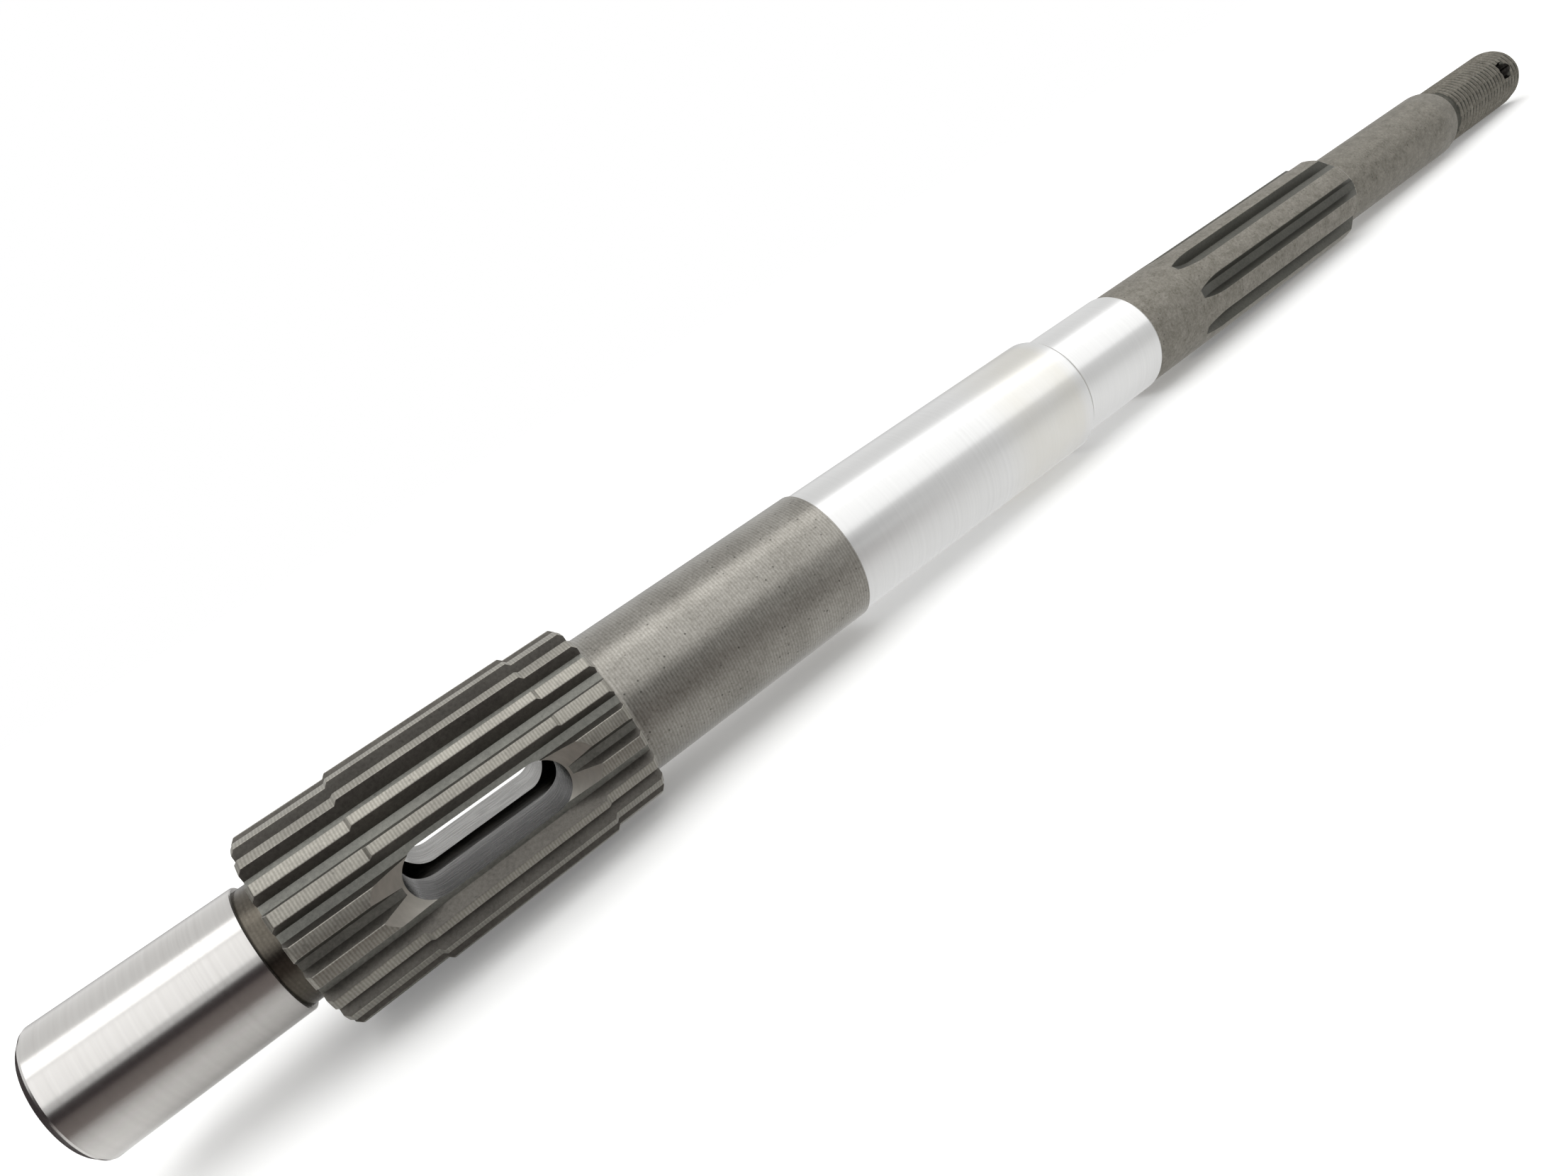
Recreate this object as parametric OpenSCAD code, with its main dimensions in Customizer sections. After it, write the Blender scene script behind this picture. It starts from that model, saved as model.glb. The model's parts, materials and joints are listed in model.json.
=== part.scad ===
// Propeller shaft of a small outboard motor: one steel bar, turned, bored, splined and ground.
// Millimetres. X runs along the shaft from the front journal to the propeller nut.
// Y is the direction in which the shift slot passes through, and Z is up as the shaft lies.
// The origin is on the axis, at the middle of the slot, where the clutch pin sits in neutral.

/* [Front journal and shift bore] */
// diameter of the ground journal that runs in the front bearing
front_journal_d = 16; // [14:0.1:18]
// length of the front journal, from the end face to its rear edge
front_journal_len = 22; // [14:0.5:30]
// chamfer round the front end
front_chamfer = 0.8; // [0.3:0.1:1.5]
// diameter of the axial bore that guides the shift plunger
shift_bore_d = 8; // [7:0.1:9]
// how far the full bore runs on behind the slot
bore_past_slot = 6; // [2:0.5:12]
// included angle of the drill point at the end of the bore
drill_point = 118; // [90:1:140]
// chamfer at the mouth of the bore
bore_chamfer = 0.5; // [0.2:0.1:1]

/* [Relief neck] */
// depth of the undercut below the front journal
neck_depth = 0.5; // [0.2:0.05:1]
// length of the undercut, from the journal to the clutch spline
neck_len = 2.6; // [1.6:0.1:5]
// radius that joins the undercut to the front face of the clutch spline
neck_fillet = 0.6; // [0.3:0.1:1]

/* [Clutch spline] */
// number of clutch teeth, even so that both mouths of the slot meet a gap
clutch_teeth = 20; // [16:2:24]
// length of the toothed collar
clutch_len = 41; // [36:0.2:48]
// tip diameter at both ends of the teeth
clutch_end_d = 24.7; // [24:0.1:26]
// how far the tips rise above that along the middle, on which the clutch dog is centred
clutch_rise = 0.45; // [0.2:0.05:0.6]
// depth of the gaps below the tips at the ends
clutch_depth = 1.25; // [0.9:0.05:1.5]
// width of the flat floor of a gap
clutch_floor_w = 1; // [0.7:0.05:1.3]
// slope of a tooth flank against the middle line of its gap
clutch_flank = 29; // [20:1:32]
// distance from the front face of the collar to the raised middle
clutch_mid_start = 11.2; // [9:0.2:13]
// length of the raised middle between its two ramps
clutch_mid_len = 22.4; // [20:0.2:24]
// chamfer at the tooth ends
clutch_chamfer = 0.5; // [0.3:0.1:0.8]
// radius between the rear face of the collar and the shank
collar_fillet = 0.8; // [0.3:0.1:1.2]

/* [Shift slot] */
// width of the slot across the shaft
slot_w = 6.5; // [5.5:0.1:7]
// length of the slot over its round ends
slot_len = 20; // [14:0.5:22]
// distance from the front face of the collar to the middle of the slot
slot_mid = 21.9; // [20:0.2:24]
// slope of the countersunk ramp that relieves the teeth at each end of the slot
ramp_slope = 20; // [15:1:35]
// how far the ramps reach below the floor of the gap at the slot's edge
ramp_bite = 0.12; // [0.06:0.02:0.3]

/* [Shank, bearing and seal journals] */
// diameter of the unground shank behind the clutch
shank_d = 19.6; // [19.2:0.1:20.6]
// length of the unground shank
shank_len = 36.5; // [25:0.5:50]
// small chamfer on the rear lip of the unground shank
shank_lip = 0.25; // [0.1:0.05:0.4]
// diameter of the ground bearing journal
bearing_d = 19; // [18.4:0.1:19.1]
// length of the bearing journal
bearing_len = 47.8; // [30:0.5:60]
// length of the chamfer that leads the bearing on
bearing_chamfer = 0.7; // [0.3:0.1:1.2]
// diameter of the ground seal journal
seal_d = 17; // [16.6:0.1:17.6]
// length of the seal journal
seal_len = 17.7; // [12:0.5:25]

/* [Propeller spline] */
// number of gaps between the propeller teeth
prop_teeth = 8; // [6:1:10]
// diameter over the propeller teeth
prop_d = 16.6; // [16.2:0.1:17]
// how far the floor of the propeller gaps stands above the tail
prop_floor_lift = 0.05; // [0.05:0.05:0.4]
// width of the flat floor of a propeller gap
prop_floor_w = 1.4; // [0.8:0.1:2]
// slope of a propeller tooth flank against the middle line of its gap
prop_flank = 31; // [20:1:36]
// plain length between the seal journal and the first touch of the cutter
prop_plain = 13; // [8:0.5:20]
// toothed length, from the first touch of the cutter to the end of the tooth chamfer
prop_len = 48.6; // [40:0.5:60]
// radius of the disc cutter that leaves the round run-outs
cutter_r = 12; // [8:0.5:30]
// slope of the lead chamfer on the rear ends of the teeth, against the axis
prop_lead = 30; // [20:1:45]
// turn of the propeller gaps about the axis, against the slot
prop_clock = 7; // [0:0.5:22.5]

/* [Tail and thread] */
// diameter of the plain tail behind the propeller spline
tail_d = 13.2; // [12.4:0.1:13.2]
// length of the plain tail
tail_len = 37.7; // [25:0.5:50]
// chamfer at the rear end of the tail
tail_chamfer = 0.5; // [0.2:0.1:0.6]
// outside diameter of the thread for the propeller nut
thread_d = 11.8; // [10:0.1:12]
// length from the tail's shoulder to the tip
thread_len = 28; // [20:0.5:35]
// depth of the relief groove between tail and thread
relief_depth = 0.6; // [0.2:0.1:1]
// width of the relief groove
relief_w = 2.2; // [1.2:0.1:4]
// chamfer at the tip
tip_chamfer = 1; // [0.5:0.1:2]
// diameter of the cross hole for the cotter pin
cotter_d = 3.8; // [2.5:0.1:4.2]
// distance from the tip to the middle of the cross hole
cotter_inset = 5.4; // [4.5:0.1:9]
// turn of the cross hole about the axis, against the slot
cotter_clock = 16; // [0:1:90]

/* [Hidden] */
$fn = 96;
// turn about the axis that lays the shaft on two clutch teeth, with the slot level
lie_turn = 90;
// room by which a cutting tool runs out of the metal
run_out = 1;
// steps along each small turned radius
fillet_steps = 5;
// stations along the axis, from the front face
x_neck = front_journal_len;
x_clutch = x_neck + neck_len;
x_mid = x_clutch + clutch_mid_start;
x_mid_end = x_mid + clutch_mid_len;
x_shank = x_clutch + clutch_len;
x_bearing = x_shank + shank_len;
x_seal = x_bearing + bearing_len;
x_prop = x_seal + seal_len;
x_gap = x_prop + prop_plain;
x_tail = x_gap + prop_len;
x_thread = x_tail + tail_len;
x_tip = x_thread + thread_len;
x_slot = x_clutch + slot_mid;
x_cotter = x_tip - cotter_inset;
// diameters that follow from the named ones
neck_d = front_journal_d - 2 * neck_depth;
clutch_mid_d = clutch_end_d + 2 * clutch_rise;
clutch_root_d = clutch_end_d - 2 * clutch_depth;
prop_root_d = tail_d + 2 * prop_floor_lift;
// centre distance of the slot's round ends
slot_span = slot_len - slot_w;
// depth of a propeller gap and the length in which the cutter leaves it
prop_depth = (prop_d - prop_root_d) / 2;
cutter_reach = sqrt(2 * cutter_r * prop_depth - prop_depth * prop_depth);
// where the lead chamfer of the propeller teeth starts
lead_len = (prop_d - tail_d) / 2 / tan(prop_lead);

// points of an inside fillet from the small diameter out to the face behind it
function fillet(x, r, f, turn) = [for (i = [0:fillet_steps])
    let (a = 90 * (turn > 0 ? i : fillet_steps - i) / fillet_steps)
    [r + f - f * cos(a), x + turn * (f * sin(a) - f)]];

// half section of the bar as it leaves the lathe: radius, then station from the front face
function turned_section() = concat(
    [
        [0, 0],
        [front_journal_d / 2 - front_chamfer, 0],
        [front_journal_d / 2, front_chamfer],
        [front_journal_d / 2, x_neck],
        [neck_d / 2, x_neck]
    ],
    fillet(x_clutch, neck_d / 2, neck_fillet, 1),
    [
        [clutch_end_d / 2 - clutch_chamfer, x_clutch],
        [clutch_end_d / 2, x_clutch + clutch_chamfer],
        [clutch_end_d / 2, x_mid - clutch_rise],
        [clutch_mid_d / 2, x_mid],
        [clutch_mid_d / 2, x_mid_end],
        [clutch_end_d / 2, x_mid_end + clutch_rise],
        [clutch_end_d / 2, x_shank - clutch_chamfer],
        [clutch_end_d / 2 - clutch_chamfer, x_shank]
    ],
    fillet(x_shank, shank_d / 2, collar_fillet, -1),
    [
        [shank_d / 2, x_bearing - shank_lip],
        [max(shank_d / 2 - shank_lip, bearing_d / 2), x_bearing],
        [bearing_d / 2, x_bearing],
        [bearing_d / 2, x_seal - bearing_chamfer],
        [bearing_d / 2 - 0.6 * bearing_chamfer, x_seal],
        [seal_d / 2, x_seal],
        [seal_d / 2, x_prop],
        [prop_d / 2, x_prop + 0.3],
        [prop_d / 2, x_tail - lead_len],
        [tail_d / 2, x_tail],
        [tail_d / 2, x_thread - tail_chamfer],
        [tail_d / 2 - tail_chamfer, x_thread],
        [thread_d / 2 - relief_depth, x_thread],
        [thread_d / 2 - relief_depth, x_thread + relief_w],
        [thread_d / 2, x_thread + relief_w + relief_depth],
        [thread_d / 2, x_tip - tip_chamfer],
        [thread_d / 2 - tip_chamfer, x_tip],
        [0, x_tip]
    ]
);

module turned_bar() {
    rotate([0, 90, 0])
        rotate_extrude()
            polygon(turned_section());
}

// cross section of a gap between two teeth, open outwards
module gap_section(root, floor_w, flank, top) {
    spread = (top - root) * tan(flank);
    polygon([
        [-floor_w / 2, root],
        [floor_w / 2, root],
        [floor_w / 2 + spread, top],
        [-floor_w / 2 - spread, top]
    ]);
}

module clutch_gaps() {
    for (i = [0:clutch_teeth - 1])
        rotate([360 / clutch_teeth * i, 0, 0])
            translate([x_clutch - run_out, 0, 0])
                rotate([90, 0, 90])
                    linear_extrude(clutch_len + 2 * run_out)
                        gap_section(clutch_root_d / 2, clutch_floor_w, clutch_flank, clutch_mid_d / 2 + run_out);
}

// one propeller gap: a straight length to the rear and the arc where the cutter lifts out
module prop_gap() {
    x_full = x_gap + cutter_reach;
    top = prop_d / 2 + run_out;
    translate([x_full, 0, 0])
        rotate([90, 0, 90])
            linear_extrude(x_tail + run_out - x_full)
                gap_section(prop_root_d / 2, prop_floor_w, prop_flank, top);
    translate([x_full, 0, prop_root_d / 2 + cutter_r])
        rotate([90, 0, 0])
            rotate([0, 0, 180])
                rotate_extrude(angle = 90)
                    cutter_section(top - prop_root_d / 2);
}

// the same gap as a section of the disc cutter: radius, then width
module cutter_section(rise) {
    spread = rise * tan(prop_flank);
    polygon([
        [cutter_r, -prop_floor_w / 2],
        [cutter_r, prop_floor_w / 2],
        [cutter_r - rise, prop_floor_w / 2 + spread],
        [cutter_r - rise, -prop_floor_w / 2 - spread]
    ]);
}

module prop_gaps() {
    for (i = [0:prop_teeth - 1])
        rotate([360 / prop_teeth * i - prop_clock, 0, 0])
            prop_gap();
}

module shift_slot() {
    translate([x_slot, 0, 0])
        linear_extrude(clutch_mid_d + 2 * run_out, center = true)
            union() {
                translate([-slot_span / 2, 0])
                    circle(d = slot_w);
                translate([slot_span / 2, 0])
                    circle(d = slot_w);
                square([slot_span, slot_w], center = true);
            }
}

// shallow countersinks round both ends of both mouths, which take the tooth ends down to the slot
module slot_ramps() {
    base = clutch_root_d / 2 - 0.4;
    height = clutch_mid_d / 2 + run_out - base;
    wide = slot_w / 2 - (0.4 - ramp_bite) / tan(ramp_slope);
    for (side = [0, 180], end = [-1, 1])
        rotate([side, 0, 0])
            translate([x_slot + end * slot_span / 2, 0, base])
                cylinder(h = height, r1 = wide, r2 = wide + height / tan(ramp_slope));
}

module shift_bore() {
    depth = x_slot + slot_len / 2 + bore_past_slot;
    rotate([0, 90, 0])
        union() {
            translate([0, 0, -run_out])
                cylinder(h = depth + run_out, d = shift_bore_d);
            translate([0, 0, depth])
                cylinder(h = shift_bore_d / 2 / tan(drill_point / 2), d1 = shift_bore_d, d2 = 0);
            translate([0, 0, -run_out])
                cylinder(h = run_out + bore_chamfer, r1 = shift_bore_d / 2 + bore_chamfer + run_out,
                    r2 = shift_bore_d / 2);
        }
}

module cotter_hole() {
    rotate([-cotter_clock, 0, 0])
        translate([x_cotter, 0, 0])
            cylinder(h = thread_d + 2 * run_out, d = cotter_d, center = true);
}

// the finished shaft, in one piece
module propeller_shaft() {
    color([0.55, 0.54, 0.52])
        rotate([lie_turn, 0, 0])
            translate([-x_slot, 0, 0])
                difference() {
                    turned_bar();
                    clutch_gaps();
                    prop_gaps();
                    slot_ramps();
                    shift_slot();
                    shift_bore();
                    cotter_hole();
                }
}

propeller_shaft();
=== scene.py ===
# %% [markdown]
# A propeller shaft, dressed for a picture
#
# The object is one steel bar: turned, bored, splined, slotted and ground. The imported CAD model
# fixes its sizes, and this lesson gives it its looks. The model's own mesh could be painted as it
# is, but its facets would show in a close view. So we load it as a fixed frame, rebuild its skin
# finely, cut the nut thread that the solid leaves out, and then give each stretch of the bar the
# finish that its machine left.

# %% Load the frame
import json
import math

import bmesh
import bpy
import numpy as np
from mathutils import Matrix, Vector


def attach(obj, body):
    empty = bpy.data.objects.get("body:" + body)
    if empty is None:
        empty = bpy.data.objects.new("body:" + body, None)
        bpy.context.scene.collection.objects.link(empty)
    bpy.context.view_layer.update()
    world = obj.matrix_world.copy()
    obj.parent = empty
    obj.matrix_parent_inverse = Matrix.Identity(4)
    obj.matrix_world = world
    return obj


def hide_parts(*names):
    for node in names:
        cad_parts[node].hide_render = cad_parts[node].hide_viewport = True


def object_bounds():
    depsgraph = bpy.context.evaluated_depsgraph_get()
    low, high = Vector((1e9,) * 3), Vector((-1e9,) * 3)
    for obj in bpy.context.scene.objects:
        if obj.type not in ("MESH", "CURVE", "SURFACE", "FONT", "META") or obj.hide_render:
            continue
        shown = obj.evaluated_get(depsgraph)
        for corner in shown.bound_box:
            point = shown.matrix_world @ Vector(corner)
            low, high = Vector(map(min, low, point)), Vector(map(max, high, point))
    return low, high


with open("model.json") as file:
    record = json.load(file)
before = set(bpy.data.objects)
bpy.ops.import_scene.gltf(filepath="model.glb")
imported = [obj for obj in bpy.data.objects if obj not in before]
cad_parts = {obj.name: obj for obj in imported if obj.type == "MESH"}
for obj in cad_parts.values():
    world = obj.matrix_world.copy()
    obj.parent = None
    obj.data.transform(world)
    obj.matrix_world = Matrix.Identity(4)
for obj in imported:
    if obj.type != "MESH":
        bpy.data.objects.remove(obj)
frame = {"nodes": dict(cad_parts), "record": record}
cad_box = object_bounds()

print("nodes:", sorted(frame["nodes"]), "box:", [round(value, 4) for corner in cad_box for value in corner])

# %% [markdown]
# Where each stretch begins and ends
#
# A mount in the record is a place where something else fits, so the mounts already hold the
# journals, the splines, the bore and the thread. Their places could be typed in again here, but
# reading them keeps the looks on the solid even if a journal is made longer. We work in millimetres
# and turn to metres only when a mesh is made. The few sizes that no mount states, such as tooth
# depths, are named where they are first used.

# %% Stations and radii from the record
# Names that end in _x are stations along the shaft, and names that end in _r are radii, in mm.
MM = 0.001
mounts = {mount["name"]: mount for mount in frame["record"]["mounts"]}


def span(name):
    """First and last station of a mount along the shaft, in mm: its place, half its length each way."""
    middle, half = mounts[name]["pos_m"][0] / MM, mounts[name]["dims"]["length_mm"] / 2
    return middle - half, middle + half


def radius(name):
    """The mount's radius in mm."""
    return mounts[name]["dims"]["r_mm"]


front_x, tip_x = cad_box[0].x / MM, cad_box[1].x / MM
journal_x, collar_x, bearing_x = span("front_journal"), span("clutch_spline"), span("bearing_journal")
seal_x, gap_x = span("seal_journal"), span("propeller_spline")
tail_x, thread_x = span("tail"), span("nut_thread")
journal_r, bearing_r, seal_r = radius("front_journal"), radius("bearing_journal"), radius("seal_journal")
tail_r, thread_r = radius("tail"), radius("nut_thread")
bore_r, pin_r = radius("shift_bore"), radius("cotter_hole")
print("collar", collar_x, "bearing", bearing_x, "seal", seal_x, "thread", thread_x)

# %% [markdown]
# One skin for every shape
#
# Nearly everything on this bar goes round its axis. A plain lathe shape could be made with the Screw
# modifier, but the splines and the thread need another radius at every angle. So each piece is a grid
# of points: rows follow the axis and columns go round it. One function then skins them all. It joins
# each point to its neighbours with quads, joins the last column to the first, and closes the ends.
# Smooth shading with sharp creases shows a turned surface as round and a machined edge as an edge.

# %% Skin a grid of points
CREASE = math.radians(20)


def skin(name, points, ring=False):
    """A closed mesh over points[row, column]: quads between neighbours, the last column joined to
    the first, and either a flat cap on each end or, for a ring, the last row joined to the first."""
    rows, columns = points.shape[:2]
    index = np.arange(rows * columns).reshape(rows, columns)
    here = index if ring else index[:-1]
    ahead = np.roll(index, -1, axis=0) if ring else index[1:]
    quads = np.stack([here, np.roll(here, -1, 1), np.roll(ahead, -1, 1), ahead], axis=-1)
    caps = [] if ring else [index[0, ::-1].tolist(), index[-1].tolist()]
    mesh = bpy.data.meshes.new(name)
    mesh.from_pydata((points.reshape(-1, 3) * MM).tolist(), [], quads.reshape(-1, 4).tolist() + caps)
    obj = bpy.data.objects.new(name, mesh)
    bpy.context.scene.collection.objects.link(obj)
    return obj


def crease(obj, angle=CREASE):
    """Smooth shading, with a sharp edge wherever two faces meet at more than the crease angle."""
    obj.data.shade_smooth()
    obj.data.set_sharp_from_angle(angle=angle)


def around(x, r, angle):
    """Cylinder coordinates to points: station x along the axis, radius r, angle from +Y towards +Z."""
    x, r, angle = np.broadcast_arrays(x, r, angle)
    return np.stack([x, r * np.cos(angle), r * np.sin(angle)], axis=-1)


def ring_angles(columns):
    """That many angles, evenly spaced once round."""
    return np.arange(columns) * 2 * np.pi / columns


# %% [markdown]
# The turned stretches
#
# The front journal is a tube, because the shift bore runs in from its end. Its outline is a closed
# loop that goes out along the ground surface and back along the bore. The shank, the bearing journal
# and the seal journal are plain turned lengths. Corners could be softened by a Bevel modifier, but a
# point or two in the outline does the same at once. Outside corners have a tiny break, as a stone
# leaves it: without one, an edge never catches the light.

# %% Turn the front journal
def turned(name, outline, columns=160, ring=False):
    """Carries an outline of (station, radius) pairs once round the axis, as a lathe does."""
    x, r = np.array(outline, float).T
    return skin(name, around(x[:, None], r[:, None], ring_angles(columns)), ring)


def hollow(x, r, fillet, way, steps=6):
    """Outline points of an inside corner of that fillet radius, between the bar of radius r and the
    face at station x, which lies ahead of the corner (way 1) or behind it (way -1)."""
    bend = np.linspace(0, np.pi / 2, steps)
    out_x = x + way * (fillet * np.sin(bend) - fillet)
    out_r = r + fillet - fillet * np.cos(bend)
    return np.stack([out_x, out_r], axis=1)[::way].tolist()


BREAK = 0.12
end_chamfer, bore_mouth = 0.8, 0.5
neck_depth, neck_fillet = 0.5, 0.6
neck_r = journal_r - neck_depth
front_journal = turned("front_journal", [
    (front_x, bore_r + bore_mouth),
    (front_x, journal_r - end_chamfer - BREAK),
    (front_x + BREAK, journal_r - end_chamfer + BREAK / 2),
    (journal_x[0] - BREAK, journal_r - BREAK),
    (journal_x[0] + BREAK, journal_r),
    (journal_x[1] - BREAK, journal_r),
    (journal_x[1], journal_r - BREAK),
    (journal_x[1], neck_r),
    *hollow(collar_x[0], neck_r, neck_fillet, 1),
    (collar_x[0], bore_r),
    (front_x + bore_mouth, bore_r)], ring=True)
print("neck", neck_r, "mm in radius, from", journal_x[1], "to", collar_x[0])

# %% Turn the shank and the rear journals
shank_r, shank_fillet = 9.8, 0.8
lip, lip_bend = 0.25, 0.7
shank = turned("shank", [
    *hollow(collar_x[1], shank_r, shank_fillet, -1),
    (bearing_x[0] - lip, shank_r),
    (bearing_x[0] - BREAK / 2, shank_r - lip * lip_bend),
    (bearing_x[0], shank_r - lip)])

# The bearing's lead chamfer drops this far at its start, just before its edge, and at its edge.
lead_drop = (0.07, 0.40, 0.42)
bearing_journal = turned("bearing_journal", [
    (bearing_x[0], bearing_r),
    (bearing_x[1] - BREAK, bearing_r),
    (bearing_x[1] + BREAK, bearing_r - lead_drop[0]),
    (seal_x[0] - BREAK / 2, bearing_r - lead_drop[1]),
    (seal_x[0], bearing_r - lead_drop[2] - BREAK / 2)])

prop_r, prop_step = 8.3, 0.3
seal_journal = turned("seal_journal", [
    (seal_x[0], seal_r),
    (seal_x[1] - BREAK / 2, seal_r),
    (seal_x[1] + prop_step, prop_r)])
for piece in (front_journal, shank, bearing_journal, seal_journal):
    crease(piece)
    print(piece.name, len(piece.data.polygons), "faces")

# %% [markdown]
# Splines: one formula for both
#
# The clutch collar has twenty straight gaps. The propeller spline has eight, and there a disc cutter
# lifted out of the metal, so each gap ends in a round run-out. Every gap could be cut with a Boolean,
# but both splines have the same section, so a formula can place the points instead. Look along the
# bar at one gap, with y sideways from its middle and z outwards. The floor is flat, the flanks lean
# out, and the tooth tips lie on a circle. Halving the search range again and again finds the place
# where flank and circle meet. Grid columns then run exactly along the tooth edges, so the edges stay
# crisp.

# %% The splined bar
# Tooth edges are worn by EDGE, and by less where a gap is shallower than EDGE_FADE, in mm.
EDGE, EDGE_FADE = 0.08, 0.3
# Columns over half a gap's floor and up one flank, as shares of their widths.
FLOOR_SHARE = np.array([0, 0.5, 1])
FLANK_SHARE = np.array([0.35, 0.7])
HALVINGS = 40
# Straight gaps: the cutter was at full depth long before the bar begins.
ALREADY_DEEP = -1000.0


def splined(name, x, tip, gaps, turn, root, floor_width, flank, cutter=12.0, x_full=ALREADY_DEEP,
            tip_columns=7):
    """Stations x and tip radii (one row each) to a bar with gaps. In a gap's own section the height
    at y is z = root + cutter - sqrt(rim^2 - d^2), where the cutter's own edge is
    rim = cutter - max(|y| - floor_width / 2, 0) / tan(flank), and d is how far the section lies
    before x_full, where the cutter is at full depth. The flank's slope is in degrees."""
    x, tip = np.asarray(x, float)[:, None], np.asarray(tip, float)[:, None]
    before, slant = np.maximum(x_full - x, 0), math.tan(math.radians(flank))

    def height(y):
        rim = cutter - np.maximum(np.abs(y) - floor_width / 2, 0) / slant
        return root + cutter - np.sqrt(np.maximum(rim ** 2 - before ** 2, 0))

    low, high = np.zeros_like(tip), tip * math.sin(math.pi / gaps)
    for _ in range(HALVINGS):
        middle = (low + high) / 2
        inside = height(middle) < np.sqrt(tip ** 2 - middle ** 2)
        low, high = np.where(inside, middle, low), np.where(inside, high, middle)
    edge = (low + high) / 2

    floor = np.minimum(edge, floor_width / 2)
    half = np.hstack([floor * FLOOR_SHARE, floor + (edge - floor) * FLANK_SHARE])
    y = np.hstack([-half[:, :0:-1], half])
    z = np.minimum(height(y), np.sqrt(tip ** 2 - y ** 2))
    corner = np.arctan2(edge, np.sqrt(tip ** 2 - edge ** 2))
    worn = EDGE * np.clip((tip - height(0 * tip)) / EDGE_FADE, 0, 1)
    pitch, soft = 2 * np.pi / gaps, worn / tip
    arc = (corner + soft) + (pitch - 2 * corner - 2 * soft) * np.linspace(0, 1, tip_columns)
    angle = np.hstack([np.arctan2(y, z), corner, arc, pitch - corner])
    r = np.hstack([np.hypot(y, z), tip - worn / 2, tip + 0 * arc, tip - worn / 2])
    all_angles = np.hstack([angle + turn + pitch * gap for gap in range(gaps)])
    return skin(name, around(x, np.hstack([r] * gaps), all_angles))


# %% [markdown]
# The propeller spline
#
# The propeller's hub slides on here. The tips follow a turned outline: a long plain cylinder and a
# lead chamfer at thirty degrees that helps the hub on. The cutter of 12 mm radius reaches full depth
# a little after it first touches, and that distance follows from its circle. Even rows would waste
# points on the straight length, so rows are close together only along the run-out and the chamfer,
# where the section changes. Before a gap begins, some columns lie on one another, so they are merged.

# %% Make the propeller spline
# Points nearer than this are one point, and edges shorter than this are none, in metres.
SAME_PLACE, NO_LENGTH = 1e-7, 1e-8


def stations(*marks, every):
    """Row stations through all the marks, with rows between them no further apart than every mm."""
    rows = []
    for first, last in zip(marks, marks[1:]):
        rows.append(np.linspace(first, last, max(2, math.ceil((last - first) / every) + 1))[:-1])
    return np.concatenate([*rows, marks[-1:]])


def close_up(obj):
    """Merges points that lie together, which drops the faces that have no width."""
    work = bmesh.new()
    work.from_mesh(obj.data)
    bmesh.ops.remove_doubles(work, verts=work.verts, dist=SAME_PLACE)
    bmesh.ops.dissolve_degenerate(work, edges=work.edges, dist=NO_LENGTH)
    work.to_mesh(obj.data)
    work.free()


# Angles in degrees: the gaps' turn against the slot, and the slopes of lead chamfer and flanks.
prop_gaps, prop_clock, lead_angle, prop_flank = 8, 7, 30, 31
floor_lift, prop_floor, cutter_r, run_up = 0.05, 1.4, 12.0, 0.6
prop_root = tail_r + floor_lift
depth = prop_r - prop_root
full_x = gap_x[0] + math.sqrt(2 * cutter_r * depth - depth ** 2)
lead_x = gap_x[1] - (prop_r - tail_r) / math.tan(math.radians(lead_angle))
prop_x = np.unique(np.concatenate([
    stations(seal_x[1] + prop_step, gap_x[0] - run_up, every=4.0),
    stations(gap_x[0] - run_up, full_x, every=0.22),
    stations(full_x, lead_x, every=4.0),
    stations(lead_x, gap_x[1], every=0.25)]))
prop_tip = np.interp(prop_x, [lead_x, gap_x[1]], [prop_r, tail_r])
propeller_spline = splined(
    "propeller_spline", prop_x, prop_tip, prop_gaps, math.radians(180 - prop_clock), prop_root,
    prop_floor, prop_flank, cutter_r, full_x, tip_columns=12)
close_up(propeller_spline)
crease(propeller_spline)
print("propeller spline:", len(propeller_spline.data.vertices), "points, full depth at", round(full_x, 2))

# %% [markdown]
# The clutch collar
#
# The clutch dog slides on these teeth. Their outline has a raised middle between two short ramps,
# which centres the dog, and a chamfer at both ends. One tooth could be modelled and copied round with
# an Array modifier. The formula makes all twenty gaps at once, without seams.

# %% Make the collar
teeth, collar_tip, rise, tooth_depth = 20, 12.35, 0.45, 1.25
collar_floor, collar_flank, tooth_chamfer = 1.0, 29, 0.5
band_start, band_length = 11.2, 22.4
band_x = (collar_x[0] + band_start, collar_x[0] + band_start + band_length)
collar_outline = np.array([
    (collar_x[0], collar_tip - tooth_chamfer),
    (collar_x[0] + tooth_chamfer, collar_tip),
    (band_x[0] - rise, collar_tip),
    (band_x[0], collar_tip + rise),
    (band_x[1], collar_tip + rise),
    (band_x[1] + rise, collar_tip),
    (collar_x[1] - tooth_chamfer, collar_tip),
    (collar_x[1], collar_tip - tooth_chamfer)])
collar_rows = stations(*collar_outline[:, 0], every=3.0)
clutch_collar = splined(
    "clutch_collar", collar_rows, np.interp(collar_rows, *collar_outline.T), teeth, 0.0,
    collar_tip - tooth_depth, collar_floor, collar_flank)
close_up(clutch_collar)
print("collar before it is cut:", len(clutch_collar.data.vertices), "points")

# %% [markdown]
# The slot, its ramps and the shift bore
#
# The collar is now worked as the real one is: a slot milled through for the dog's pin, four shallow
# countersinks at the slot's ends, and the bore drilled in from the front. These cuts cross the teeth
# at odd angles, where rows and columns can't follow, so here a Boolean is right: it takes each tool's
# shape away from the metal. The tools are grids too: the slot is an outline carried straight through,
# the countersinks are cones about Y, and the bore is turned.

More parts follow.
